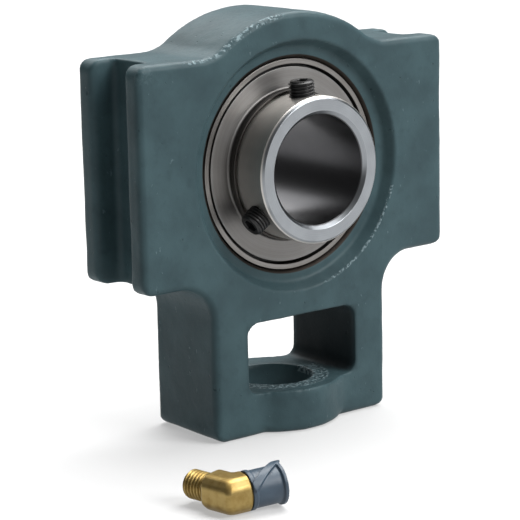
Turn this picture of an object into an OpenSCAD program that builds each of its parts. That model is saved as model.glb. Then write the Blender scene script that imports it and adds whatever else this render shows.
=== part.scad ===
// Take-up bearing unit: a cast housing that slides between two guide rails, a self-aligning
// insert ball bearing in its spherical seat, and the elbow grease fitting that comes with it.
// Millimetres. The origin is the middle of the bearing, on the shaft's axis. The shaft runs along Y,
// with the set screws to the front (-Y). The rails run along Z, with the tail and its window below.

/* [Housing] */
// Width over both guide rails
rail_span = 89; // [84:1:100]
// Distance between the floors of the two guide grooves
groove_floor_span = 76; // [72:1:80]
// Width of each guide groove
groove_w = 12.6; // [9:0.2:14]
// Length of the guide rails
rail_len = 51.5; // [46:0.5:54]
// Height of the middle of the rails above the shaft's centre
rail_rise = 1.25; // [0:0.25:3]
// Thickness of the casting from front face to rear face
body_t = 24; // [22:0.5:28]
// Wall of the casting over the bearing, at the top of the arch
arch_wall = 9.7; // [8:0.1:12]
// Distance from the shaft's centre down to the end of the tail
tail_reach = 62; // [58:1:70]
// Width of the tail
tail_w = 51; // [48:1:56]
// Width of the window for the adjuster's nut
window_w = 32; // [28:1:36]
// Height of the window
window_h = 16.8; // [12:0.4:18]
// Thickness of the wall below the window
end_wall = 10; // [8:0.5:12]
// Diameter of the adjuster hole in that wall
adjuster_d = 19; // [14:0.5:21]
// Diameter of the boss round the adjuster hole
boss_d = 33; // [30:0.5:36]
// Radius of the hollow that runs the boss into the flat faces
boss_blend_r = 8; // [4:0.5:10]
// Width of the floor of the recess, outside the bearing
recess_floor_w = 1.6; // [0.5:0.1:2]
// Width of the slope from that floor up to the face
recess_slope_w = 1.7; // [1.5:0.1:3]
// Depth of the recess
recess_depth = 3; // [2:0.25:3.5]
// Width of the chamfer at the mouth of the seat
seat_chamfer_w = 1.1; // [0.8:0.1:1.4]
// Radius on the edges of the casting
edge_r = 1.6; // [1:0.2:2.4]
// Radius of the rails' outer corners, seen from the front
corner_r = 3.2; // [2.6:0.2:5]
// Radius of the hollow between tail and rails
tail_fillet_r = 8.5; // [5:0.5:12]
// Radius of the hollow between arch and rails
shoulder_fillet_r = 15; // [6:0.5:18]
// Radius of the window's corners
window_r = 3; // [2:0.25:5]
// Radius at the root of the guide grooves
groove_root_r = 1.5; // [0.5:0.25:2.5]

/* [Grease port] */
// Diameter of the tapped hole for the grease fitting
port_d = 5.5; // [4:0.25:7]
// Angle of the port round the arch, from the right-hand rail upwards
port_angle = 66; // [64:1:68]
// Distance of the port behind the middle of the bearing
port_back = 4.3; // [4.2:0.05:4.4]
// Diameter of the flat spot round the port
spot_d = 9; // [8:0.5:9.5]
// Depth of the flat spot at its middle
spot_depth = 0.8; // [0.5:0.1:1]
// Diameter of the grease pocket between the port and the bearing
pocket_d = 7.5; // [6.5:0.25:8]
// Depth of that pocket above the seat
pocket_depth = 0.95; // [0.5:0.05:1.5]
// Diameter of the grease hole through the outer ring
lube_d = 1.4; // [1:0.1:1.5]
// Width of the grease groove round the outer ring
lube_groove_w = 2.4; // [2:0.1:3]
// Depth of the grease groove
lube_groove_depth = 0.5; // [0.3:0.1:0.8]

/* [Insert bearing] */
// Diameter of the spherical outside of the bearing
insert_d = 52; // [51:0.25:53]
// Length of the inner ring
inner_l = 34.1; // [32:0.1:36]
// How far the inner ring reaches behind the middle of the bearing
inner_rear = 14.3; // [13:0.1:15]
// Diameter of the shaft bore
bore_d = 25.4; // [24:0.1:26]
// Chamfer at both ends of the bore
bore_chamfer = 1; // [0.5:0.1:1.2]
// Chamfer on the outer edges of the inner ring
nose_chamfer = 0.7; // [0.3:0.1:1]
// Wall of the outer ring under its ball groove
outer_race_wall = 2.75; // [2:0.05:3.5]
// Wall of the inner ring under its ball groove
inner_race_wall = 2.55; // [2:0.05:3.5]
// Radius of the ball grooves as a share of the ball's diameter
groove_ratio = 0.52; // [0.51:0.005:0.53]
// Depth of the ball grooves as a share of the ball's diameter
race_ratio = 0.22; // [0.18:0.01:0.24]
// Depth of the seals' counterbores below the insert's outside
seal_wall = 2.8; // [2.4:0.1:3.2]
// Thickness of the seals at their rim
seal_t = 1.6; // [1.2:0.1:1.7]
// Thickness of the seals' web
seal_web_t = 0.7; // [0.5:0.1:0.9]
// Thickness of the flingers' sheet
flinger_t = 0.6; // [0.4:0.05:0.7]
// Width of the open gap round the edge of the flingers
flinger_gap = 0.45; // [0.3:0.05:0.6]
// Height of the flingers' collar along the inner ring
collar_l = 2; // [1.5:0.1:2.5]
// How far the flingers' outer faces lie below the outer ring's faces
flinger_sink = 0.3; // [0.2:0.05:0.5]
// Thickness of the cage's sheet
cage_t = 0.6; // [0.4:0.05:0.7]
// Width of the cage's band as a share of the room between the rings
cage_ratio = 0.6; // [0.5:0.01:0.68]
// Diameter of the cage's rivets
rivet_d = 1.1; // [0.9:0.1:1.3]

/* [Set screws] */
// Diameter of the set screws
screw_d = 6; // [5:0.25:6.5]
// Length of the set screws
screw_l = 7; // [6:0.1:7]
// Height of the set screws above the inner ring
screw_proud = 3.4; // [3:0.1:4]
// Distance of the set screws from the front end of the inner ring
screw_from_end = 5; // [4.5:0.1:5.5]
// Direction of the first set screw, from the right-hand rail upwards
screw_angle = 94; // [80:1:100]
// Angle between the two set screws
screw_spread = 120; // [60:1:125]
// Width across the flats of the hexagon socket
socket_af = 3; // [2.5:0.1:3.2]

/* [Grease fitting] */
// Width across the flats of the elbow
elbow_af = 8; // [7.5:0.1:9]
// Width of the cut corners of the elbow's square bar
elbow_corner = 1.9; // [1.4:0.1:2.2]
// Length of the elbow from the bend to the thread
elbow_l = 5.6; // [5:0.1:8]
// Angle of the bend
bend = 67.5; // [45:0.5:90]
// Outside diameter of the fitting's thread
thread_d = 6.35; // [6:0.05:7]
// Length of the thread
thread_l = 6.2; // [4:0.1:7]
// Diameter of the round outlet of the elbow
outlet_d = 7.6; // [7.2:0.1:8]
// Distance from the bend to the end of the outlet
outlet_l = 3.2; // [3:0.1:4]
// Diameter of the nipple head
head_d = 6.5; // [6.3:0.05:6.6]
// Length of the nipple above the outlet
head_l = 6.2; // [5.8:0.1:6.6]
// Diameter of the check ball
check_d = 2.2; // [1.9:0.05:2.3]
// Outside diameter of the cap
cap_d = 8.1; // [8:0.1:8.4]
// Diameter of the collar at the cap's mouth
cap_collar_d = 8.6; // [8.4:0.1:8.7]
// Diameter of the rim at the cap's closed end
cap_rim_d = 9.1; // [8.8:0.1:9.4]
// Length of the cap
cap_l = 7.9; // [7.6:0.1:9]
// Width of the cap's raised strap
strap_w = 1.6; // [1.2:0.1:2]
// Place of the bend on the surface that the unit stands on, to the right of the shaft
fitting_x = -51.5; // [-60:0.5:-40]
// Place of the bend, behind the shaft's middle
fitting_y = -52; // [-60:0.5:-40]
// Direction of the thread on the surface
fitting_turn = -80; // [-100:1:-60]
// Roll of the elbow where it rests on the cap's rim
fitting_roll = 4; // [3:0.25:6]

/* [Clearances] */
// Between the spherical seat and the outer ring
seat_clearance = 0.05; // [0.02:0.01:0.1]
// Between balls and ball grooves
ball_play = 0.03; // [0.01:0.01:0.05]
// Between balls and cage pockets
pocket_play = 0.12; // [0.05:0.01:0.2]
// Between the cage and the seals
cage_room = 0.6; // [0.4:0.05:0.9]
// Between the seals and the flingers
seal_room = 0.7; // [0.4:0.05:1]
// Between a seal's lip and the inner ring
lip_clearance = 0.15; // [0.1:0.05:0.3]
// Between pieces that are pressed together
press_gap = 0.02; // [0.01:0.01:0.04]
// Between a set screw and its hole
thread_clearance = 0.05; // [0.03:0.01:0.1]
// Between the cap and the nipple head
cap_clearance = 0.15; // [0.1:0.01:0.3]
// Between the check ball and its bore
check_play = 0.15; // [0.12:0.01:0.2]
// Between the loading slots and the outer ring
slot_clearance = 0.2; // [0.1:0.05:0.4]

/* [Hidden] */
$fn = 96;
ball_count = 9;

// How far a cutting shape reaches past the face that it cuts
overrun = 1;
// How far a hollow is set into the faces that it joins, so that they cross and don't just touch
blend_dip = 0.15;

half_t = body_t / 2;
half_rail = rail_span / 2;
half_tail = tail_w / 2;
rail_top = rail_rise + rail_len / 2;
rail_bottom = rail_rise - rail_len / 2;
tail_end = -tail_reach;
window_bottom = tail_end + end_wall;
flange_t = (body_t - groove_w) / 2;
boss_r = boss_d / 2;
insert_r = insert_d / 2;
arch_r = insert_r + arch_wall;
seat_r = insert_r + seat_clearance;
recess_floor_r = insert_r + recess_floor_w;
recess_r = recess_floor_r + recess_slope_w;

// The balls fill the room between the two rings' walls
bore_r = bore_d / 2;
inner_race_bottom = bore_r + inner_race_wall;
outer_race_bottom = insert_r - outer_race_wall;
ball_r = (outer_race_bottom - inner_race_bottom) / 2 - ball_play;
ball_d = 2 * ball_r;
pitch_r = (outer_race_bottom + inner_race_bottom) / 2;
ball_step = 360 / ball_count;
race_r = groove_ratio * ball_d;
land_r = outer_race_bottom - race_ratio * ball_d;
inner_r = inner_race_bottom + race_ratio * ball_d;
inner_front = inner_l - inner_rear;
cage_w = cage_ratio * (land_r - inner_r);
pocket_r = ball_r + pocket_play;

// From the middle outwards: cage, seal, flinger, and the face of the outer ring
seal_seat_r = insert_r - seal_wall;
seal_seat_depth = pocket_r + cage_t + cage_room;
flinger_back = seal_seat_depth + seal_t + seal_room;
flinger_face = flinger_back + flinger_t;
flinger_r = seal_seat_r - flinger_gap;
half_outer = flinger_face + flinger_sink;
outer_w = 2 * half_outer;
screw_y = -(inner_front - screw_from_end);
hole_r = screw_d / 2;

// Elbow of the grease fitting: its corners, its rounded end, the channel and the neck of the thread
outlet_lip = 0.4;
channel_d = 2.5;
thread_r = thread_d / 2;
thread_neck = 0.6;

// Nipple: its shank in the elbow, its flange, waist and head, each by height above the outlet
head_r = head_d / 2;
shank_r = head_r - 0.9;
shank_l = 1.8;
flange_h = 0.8;
waist_r = head_r - 0.7;
waist_from = 1.4;
waist_to = 2.6;
head_from = 3.4;
head_to = 4.4;
nose_r = head_r - 1.3;

// Seat, ball and spring in the nipple
check_r = check_d / 2;
nipple_bore_r = check_r + check_play;
seat_hole_r = 0.7 * check_r;
seat_lip = 0.6;
seat_play = 0.1;
spring_l = 2.6;
spring_wire = 0.3;
spring_turns = 5;
spring_gap = 0.06;
// Height of the check ball above the end of the outlet, where it closes the seat
check_rise = head_l - seat_lip - seat_play - sqrt(check_r * check_r - seat_hole_r * seat_hole_r);
spring_floor = check_rise - spring_l - check_r;

// Cap: its collar, rim and closed end, and the strap that leans across its side
collar_h = 0.9;
rim_h = 0.7;
cap_bevel = 0.3;
cap_end_t = 1;
strap_turn = 205;
strap_lean = 38;
strap_l = 10;
strap_tab = 0.6;
strap_proud = 0.2;

// Shapes that are used more than once

// Drawn in front view, x to the right and y up, and run through the thickness
module through_y(t) {
    rotate([90, 0, 0]) linear_extrude(t, center = true) children();
}

// Drawn in side view, x to the back and y up, and run across the width
module through_x(t) {
    rotate([90, 0, 90]) linear_extrude(t, center = true) children();
}

// Half a section, x out from the shaft and y to the front, turned round the shaft
module turned() {
    rotate([90, 0, 0]) rotate_extrude() children();
}

// Turns a shape that points up to the given angle round the shaft
module round_shaft(angle) {
    rotate([0, 90 - angle, 0]) children();
}

module rounded_rect(w, h, r) {
    square([w - 2 * r, h], center = true);
    square([w, h - 2 * r], center = true);
    for (sx = [-1, 1], sy = [-1, 1])
        translate([sx * (w / 2 - r), sy * (h / 2 - r)]) circle(r);
}

// Both sides of the middle plane
module left_and_right() {
    children();
    mirror([1, 0, 0]) children();
}

module at_balls() {
    for (i = [0 : ball_count - 1])
        rotate([0, i * ball_step, 0]) translate([0, 0, pitch_r]) children();
}

// Housing

// A block of the casting in three views: its plan as a child, its front and its side with round corners
module cast_block(w, h, middle, plan_h) {
    intersection() {
        translate([0, 0, middle]) linear_extrude(plan_h, center = true) children();
        translate([0, 0, middle]) through_y(body_t + 2 * overrun) rounded_rect(w, h, corner_r);
        translate([0, 0, middle]) through_x(w + 2 * overrun) rounded_rect(body_t, h, edge_r);
    }
}

// Plan of the rails: two flanges and the web between them
module rail_plan() {
    for (s = [-1, 1])
        translate([0, s * (half_t - flange_t / 2)]) rounded_rect(rail_span, flange_t, edge_r);
    square([groove_floor_span, groove_w + flange_t], center = true);
    for (sx = [-1, 1], sy = [-1, 1])
        translate([sx * groove_floor_span / 2, sy * groove_w / 2]) difference() {
            square(2 * groove_root_r, center = true);
            translate([sx, -sy] * groove_root_r) circle(groove_root_r);
        }
}

// Cuts a hollow corner of radius r and leaves its front and rear edges round
module hollow_cutter(r) {
    turned() {
        translate([0, -half_t - overrun]) square([r, body_t + 2 * overrun]);
        for (s = [0, 1])
            mirror([0, s]) difference() {
                translate([0, half_t - edge_r]) square([r + edge_r, edge_r + overrun]);
                translate([r + edge_r, half_t - edge_r]) circle(edge_r);
            }
    }
}

module arch() {
    turned() intersection() {
        rounded_rect(2 * arch_r, body_t, edge_r);
        translate([0, -half_t]) square([arch_r, body_t]);
    }
}

// The hollow where the arch runs out on the top of a rail, set a little into both
module shoulder() {
    rise = rail_top + shoulder_fillet_r - blend_dip;
    out = sqrt(pow(arch_r + shoulder_fillet_r - blend_dip, 2) - rise * rise);
    difference() {
        through_y(body_t) polygon([[0, 0], [out, rise], [out, 0]]);
        translate([out, 0, rise]) hollow_cutter(shoulder_fillet_r);
    }
}

// The hollow where the tail runs out under a rail
module tail_corner() {
    side = tail_fillet_r + 2 * edge_r;
    difference() {
        translate([half_tail - 2 * edge_r, -half_t, rail_bottom - tail_fillet_r])
            cube([side, body_t, side]);
        translate([half_tail + tail_fillet_r, 0, rail_bottom - tail_fillet_r])
            hollow_cutter(tail_fillet_r);
    }
}

// The boss round the adjuster hole, run into the front and rear faces
module boss() {
    out = sqrt(pow(boss_r + boss_blend_r, 2) - pow(half_t + boss_blend_r, 2));
    translate([0, 0, tail_end]) rotate_extrude() difference() {
        square([boss_r, end_wall]);
        translate([boss_r - edge_r, 0]) difference() {
            translate([0, -overrun]) square([edge_r + overrun, edge_r + overrun]);
            translate([0, edge_r]) circle(edge_r);
        }
    }
    translate([0, 0, tail_end + edge_r]) linear_extrude(end_wall - edge_r)
        for (sx = [0, 1], sy = [0, 1])
            mirror([sx, 0]) mirror([0, sy]) difference() {
                polygon([[0, 0], [out, 0], [out, half_t + boss_blend_r]]);
                translate([out, half_t + boss_blend_r]) circle(boss_blend_r);
            }
}

module window() {
    translate([0, 0, window_bottom + window_h / 2])
        through_y(boss_d + 2 * overrun) rounded_rect(window_w, window_h, window_r);
}

// The spherical seat, the recesses on both faces and the slots that let the bearing in from behind
module seat() {
    floor_y = half_t - recess_depth;
    slot_r = seat_r + slot_clearance;
    mouth_r = sqrt(seat_r * seat_r - floor_y * floor_y) + seat_chamfer_w;
    mouth_depth = 0.8 * seat_chamfer_w;
    slot_w = outer_w + slot_clearance;
    sphere(seat_r);
    turned() for (s = [0, 1])
        mirror([0, s]) polygon([
            [0, floor_y - mouth_depth], [mouth_r - mouth_depth, floor_y - mouth_depth],
            [mouth_r + overrun, floor_y + overrun], [0, floor_y + overrun]
        ]);
    turned() for (s = [0, 1])
        mirror([0, s]) polygon([
            [0, floor_y], [recess_floor_r, floor_y], [recess_r, half_t],
            [recess_r, half_t + overrun], [0, half_t + overrun]
        ]);
    intersection() {
        rotate([-90, 0, 0]) cylinder(h = half_t, r = slot_r);
        cube([2 * slot_r + 2 * overrun, 2 * body_t, slot_w], center = true);
    }
}

module port() {
    round_shaft(port_angle) translate([0, port_back, 0]) {
        cylinder(h = arch_r + overrun, d = port_d);
        cylinder(h = seat_r + pocket_depth, d = pocket_d);
        translate([0, 0, arch_r - spot_depth]) cylinder(h = spot_depth + overrun, d = spot_d);
    }
}

module housing() color("#54686c") {
    difference() {
        union() {
            cast_block(rail_span, rail_len, rail_rise, rail_len + 2 * overrun) rail_plan();
            cast_block(tail_w, tail_reach, -tail_reach / 2, tail_reach + 2 * overrun)
                rounded_rect(tail_w, body_t, edge_r);
            arch();
            left_and_right() shoulder();
            left_and_right() tail_corner();
            boss();
        }
        window();
        translate([0, 0, tail_end - overrun]) cylinder(h = end_wall + 2 * overrun, d = adjuster_d);
        seat();
        port();
    }
}

// Insert bearing

module outer_ring() color("#9a9c9e") {
    lube_floor_r = sqrt(insert_r * insert_r - port_back * port_back) - lube_groove_depth;
    difference() {
        turned() difference() {
            intersection() {
                circle(insert_r);
                translate([land_r, -half_outer]) square([insert_r, outer_w]);
            }
            translate([outer_race_bottom - race_r, 0]) circle(race_r);
            for (s = [0, 1])
                mirror([0, s]) translate([0, seal_seat_depth]) square([seal_seat_r, half_outer]);
            translate([lube_floor_r, -port_back - lube_groove_w / 2]) square([insert_r, lube_groove_w]);
        }
        round_shaft(port_angle) translate([0, port_back, land_r / 2])
            cylinder(h = insert_r, d = lube_d);
    }
}

module inner_ring() color("#8f9193") {
    difference() {
        turned() difference() {
            polygon([
                [bore_r + bore_chamfer, inner_front], [inner_r - nose_chamfer, inner_front],
                [inner_r, inner_front - nose_chamfer], [inner_r, nose_chamfer - inner_rear],
                [inner_r - nose_chamfer, -inner_rear], [bore_r + bore_chamfer, -inner_rear],
                [bore_r, bore_chamfer - inner_rear], [bore_r, inner_front - bore_chamfer]
            ]);
            translate([inner_race_bottom + race_r, 0]) circle(race_r);
        }
        for (i = [0, 1])
            round_shaft(screw_angle + i * screw_spread) translate([0, screw_y, 0])
                cylinder(h = 2 * inner_r, r = hole_r);
    }
}

module ball(i) color("#c9cbcd") {
    rotate([0, (i - 1) * ball_step, 0]) translate([0, 0, pitch_r]) sphere(ball_r);
}

// The ring of sheet that the cage is pressed from, as thick as asked
module cage_band(h) {
    turned() translate([pitch_r - cage_w / 2, 0]) square([cage_w, h]);
}

// The round of a cup, along the line from the shaft through the ball
module cup(r) {
    rotate([0, 0, ball_step]) cylinder(h = 4 * cage_w, r = r, center = true);
}

// One pressed half of the cage, with a cup round each ball and flats between the cups
module cage_half() {
    difference() {
        union() {
            cage_band(cage_t);
            intersection() {
                cage_band(pocket_r + cage_t);
                at_balls() cup(pocket_r + cage_t);
            }
        }
        at_balls() cup(pocket_r);
        rotate([0, ball_step / 2, 0]) at_balls()
            rotate([90, 0, 0]) cylinder(h = 4 * cage_t, d = rivet_d + 2 * press_gap, center = true);
    }
}

module cage_front() color("#b08d57") cage_half();

module cage_rear() color("#b08d57") mirror([0, 1, 0]) cage_half();

module cage_rivets() color("#a8a8a8") {
    rivet_r = rivet_d / 2;
    rivet_head_r = 1.7 * rivet_r;
    rivet_end = 1.8 * cage_t;
    rotate([0, ball_step / 2, 0]) at_balls() rotate([90, 0, 0]) rotate_extrude() {
        translate([0, -rivet_end]) square([rivet_r, 2 * rivet_end]);
        for (s = [0, 1])
            mirror([0, s]) polygon([[0, cage_t], [rivet_head_r, cage_t], [rivet_r, rivet_end], [0, rivet_end]]);
    }
}

// A rubber seal: a thick rim in the counterbore, a thin web and a lip towards the inner ring
module seal() {
    rim_w = 1.4;
    lip_w = 0.8;
    outside = seal_seat_r - press_gap;
    inside = inner_r + lip_clearance;
    turned() translate([0, seal_seat_depth]) {
        translate([outside - rim_w, 0]) square([rim_w, seal_t]);
        translate([inside + lip_w / 2, 0]) square([outside - inside - lip_w / 2, seal_web_t]);
        polygon([
            [inside + lip_w, 0], [inside + lip_w, seal_web_t],
            [inside, seal_t - seal_web_t / 2], [inside, seal_web_t / 2]
        ]);
    }
}

module front_seal() color("#26282a") seal();

module rear_seal() color("#26282a") mirror([0, 1, 0]) seal();

// A pressed sheet disc that turns with the inner ring, on a collar
module flinger() {
    inside = inner_r + press_gap;
    turned() {
        translate([inside, flinger_back]) square([flinger_r - inside, flinger_t]);
        translate([inside, flinger_back]) square([flinger_t, flinger_t + collar_l]);
        translate([inside + flinger_t, flinger_face]) difference() {
            square(flinger_t);
            translate([flinger_t, flinger_t]) circle(flinger_t);
        }
    }
}

module front_flinger() color("#a5a7a9") flinger();

module rear_flinger() color("#a5a7a9") mirror([0, 1, 0]) flinger();

// Set screw with a hexagon socket and a cup point
module set_screw(angle) {
    r = hole_r - thread_clearance;
    lead = r / 5;
    round_shaft(angle) translate([0, screw_y, inner_r + screw_proud - screw_l]) difference() {
        rotate_extrude() polygon([
            [0, lead], [r / 2, 0], [r - lead, 0], [r, lead],
            [r, screw_l - lead], [r - lead, screw_l], [0, screw_l]
        ]);
        translate([0, 0, screw_l / 2]) cylinder(h = screw_l, d = socket_af * 2 / sqrt(3), $fn = 6);
    }
}

module set_screw_1() color("#2b2b2c") set_screw(screw_angle);

module set_screw_2() color("#2b2b2c") set_screw(screw_angle + screw_spread);

// Grease fitting: drawn with its bend at the origin, the thread along -X and the outlet in the XY plane

module on_fitting() {
    half = elbow_af / 2;
    rest = half * cos(fitting_roll) + (half - elbow_corner) * sin(fitting_roll);
    translate([fitting_x, fitting_y, tail_end + rest])
        rotate([0, 0, fitting_turn]) rotate([fitting_roll, 0, 0]) children();
}

// Turns a shape that points up to the outlet's direction
module on_outlet() {
    on_fitting() rotate([0, 0, bend]) rotate([0, 90, 0]) children();
}

// The bar that the elbow is cut from: a square with its corners cut off
module elbow_bar(l) {
    half = elbow_af / 2;
    cut = half - elbow_corner;
    linear_extrude(l) polygon([for (i = [0 : 3], p = [[half, -cut], [half, cut]])
        [p[0] * cos(90 * i) - p[1] * sin(90 * i), p[0] * sin(90 * i) + p[1] * cos(90 * i)]]);
}

// Keeps what lies on one side of the plane of the mitre: the thread's side for -1, the outlet's for 1
module mitred(side) {
    reach = 4 * elbow_af;
    intersection() {
        children();
        rotate([0, 0, bend / 2]) translate([(side - 1) * reach / 2, -reach / 2, -reach / 2]) cube(reach);
    }
}

module fitting_elbow() color("#c8a046") {
    neck_r = thread_r - thread_neck;
    difference() {
        union() {
            on_fitting() mitred(-1) translate([-elbow_l, 0, 0]) rotate([0, 90, 0])
                elbow_bar(2 * elbow_af);
            on_fitting() mitred(1) rotate([0, 0, bend]) translate([-elbow_af, 0, 0]) rotate([0, 90, 0])
                elbow_bar(elbow_af + outlet_l - outlet_lip);
            on_fitting() translate([-elbow_l, 0, 0]) rotate([0, -90, 0]) rotate_extrude() polygon([
                [0, -overrun], [neck_r, -overrun], [neck_r, thread_neck], [thread_r, 2 * thread_neck],
                [thread_r, thread_l - thread_neck], [neck_r, thread_l], [0, thread_l]
            ]);
            on_outlet() cylinder(h = outlet_l, d = outlet_d);
        }
        on_fitting() rotate([0, -90, 0]) cylinder(h = elbow_l + thread_l + overrun, d = channel_d);
        on_outlet() cylinder(h = outlet_l + overrun, d = channel_d);
        on_outlet() translate([0, 0, outlet_l - shank_l - press_gap])
            cylinder(h = shank_l + overrun, r = shank_r + press_gap);
    }
}

// The turned nipple: a pressed shank, a waist and the round head with its seat for the check ball
module nipple_head() color("#b9bcbe") {
    seat_end = head_l - seat_lip;
    on_outlet() translate([0, 0, outlet_l]) rotate_extrude() difference() {
        polygon([
            [0, -shank_l], [shank_r, -shank_l], [shank_r, 0], [head_r, 0], [head_r, flange_h],
            [waist_r, waist_from], [waist_r, waist_to], [head_r, head_from], [head_r, head_to],
            [nose_r, head_l], [0, head_l]
        ]);
        translate([0, -shank_l - overrun]) square([seat_hole_r, shank_l + head_l + 2 * overrun]);
        polygon([
            [0, spring_floor], [nipple_bore_r, spring_floor], [nipple_bore_r, check_rise + seat_play],
            [seat_hole_r, seat_end], [0, seat_end]
        ]);
    }
}

module check_ball() color("#c9cbcd") {
    on_outlet() translate([0, 0, outlet_l + check_rise]) sphere(check_r);
}

// A helical wire between the floor of the nipple's bore and the check ball
function coil_point(t, r, l) = [r * cos(360 * spring_turns * t), r * sin(360 * spring_turns * t), l * t];

module check_spring() color("#8d9092") {
    sides = 6;
    rings = 12 * spring_turns;
    coil_r = nipple_bore_r - spring_wire / 2 - spring_gap;
    reach = check_r + spring_wire / 2 + spring_gap;
    // From the floor of the bore to the turn that bears on the underside of the ball
    first = spring_wire / 2 + spring_gap;
    last = spring_l + check_r - sqrt(reach * reach - coil_r * coil_r);
    length = last - first;
    points = [for (i = [0 : rings], k = [0 : sides - 1])
        let (
            t = i / rings,
            p = coil_point(t, coil_r, length),
            out = [p[0], p[1], 0] / coil_r,
            a = 360 * k / sides
        ) p + spring_wire / 2 * (cos(a) * out + sin(a) * [0, 0, 1])];
    walls = [for (i = [0 : rings - 1], k = [0 : sides - 1])
        let (n = (k + 1) % sides)
        [i * sides + k, i * sides + n, (i + 1) * sides + n, (i + 1) * sides + k]];
    ends = [
        [for (k = [sides - 1 : -1 : 0]) k],
        [for (k = [0 : sides - 1]) rings * sides + k]
    ];
    on_outlet() translate([0, 0, outlet_l + spring_floor + first])
        polyhedron(points, concat(walls, ends), convexity = 10);
}

// The push-on cap: a collar at its mouth, a rim at its closed end and a strap across its side
module fitting_cap() color("#7f93a8") {
    cap_r = cap_d / 2;
    collar_r = cap_collar_d / 2;
    rim_r = cap_rim_d / 2;
    rim_from = cap_l - rim_h;
    on_outlet() translate([0, 0, outlet_l]) {
        difference() {
            union() {
                rotate_extrude() polygon([
                    [0, 0], [collar_r, 0], [collar_r, collar_h], [cap_r, collar_h + cap_bevel],
                    [cap_r, rim_from - cap_bevel], [rim_r, rim_from], [rim_r, cap_l], [0, cap_l]
                ]);
                intersection() {
                    cylinder(h = cap_l + strap_tab, r = rim_r + strap_proud);
                    translate([0, 0, cap_l / 2]) rotate([0, 0, strap_turn]) rotate([strap_lean, 0, 0])
                        translate([cap_r / 2, -strap_w / 2, -strap_l / 2]) cube([cap_d, strap_w, 1.2 * strap_l]);
                }
            }
            translate([0, 0, -overrun]) cylinder(h = cap_l - cap_end_t + overrun, r = head_r + cap_clearance);
        }
    }
}

housing();
outer_ring();
inner_ring();
ball(1);  // ball_1
ball(2);  // ball_2
ball(3);  // ball_3
ball(4);  // ball_4
ball(5);  // ball_5
ball(6);  // ball_6
ball(7);  // ball_7
ball(8);  // ball_8
ball(9);  // ball_9
cage_front();
cage_rear();
cage_rivets();
front_seal();
rear_seal();
front_flinger();
rear_flinger();
set_screw_1();
set_screw_2();
fitting_elbow();
nipple_head();
check_ball();
check_spring();
fitting_cap();
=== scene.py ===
# Take-up bearing unit: a cast housing with its insert ball bearing, and a loose elbow grease fitting.
# Metres, in the part's own frame: the shaft runs along Y with the front at -Y, and Z is up.
import math

import bmesh
import bpy
import numpy as np
from mathutils import Matrix, Vector, noise


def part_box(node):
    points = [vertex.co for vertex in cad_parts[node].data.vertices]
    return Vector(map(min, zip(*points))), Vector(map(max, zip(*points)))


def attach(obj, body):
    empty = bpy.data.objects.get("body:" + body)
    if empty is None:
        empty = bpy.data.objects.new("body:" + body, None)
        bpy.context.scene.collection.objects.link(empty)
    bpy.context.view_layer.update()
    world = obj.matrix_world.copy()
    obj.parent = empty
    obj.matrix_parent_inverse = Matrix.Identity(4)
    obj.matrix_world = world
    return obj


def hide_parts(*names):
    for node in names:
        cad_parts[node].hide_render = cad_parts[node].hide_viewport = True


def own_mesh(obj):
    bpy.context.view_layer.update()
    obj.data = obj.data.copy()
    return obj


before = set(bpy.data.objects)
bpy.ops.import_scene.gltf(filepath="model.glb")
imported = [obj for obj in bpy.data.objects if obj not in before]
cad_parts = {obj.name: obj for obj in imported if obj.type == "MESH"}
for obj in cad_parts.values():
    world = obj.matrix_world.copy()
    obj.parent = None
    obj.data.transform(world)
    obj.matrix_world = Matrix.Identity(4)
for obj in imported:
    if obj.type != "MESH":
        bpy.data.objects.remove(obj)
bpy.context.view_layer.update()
MM = 0.001


# Housing
# One iron casting, poured in sand and sprayed grey-green all over. Guide rails run in its two grooves,
# the window takes the adjuster's nut, and only the round seat of the bearing is turned to bare iron.

SEAT_R = 26.05 * MM
SEAT_HALF_W = 8.1 * MM
SEAT_MOUTH = 27.1 * MM
RECESS_R = 29.3 * MM
FACE_Y = -12.0 * MM
RAIL_TOP = 27.0 * MM
RAIL_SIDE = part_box("housing")[0].x
WINDOW_FLOOR = -52.0 * MM
WINDOW_TOP = -35.5 * MM
WINDOW_HALF_W = 16.5 * MM
ADJUSTER_R = 9.5 * MM
FLOOR_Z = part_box("housing")[0].z
CASTING_VOXEL = 0.52 * MM
CASTING_ROUNDS = 9
# How far a point on a sharp edge stands off the mean of its neighbours
EDGE_BEND = 0.046 * MM
FLAKE_H = 0.25 * MM
SEAT_SKIN = 0.35 * MM
SEAT_PLAY = 0.03 * MM


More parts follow.
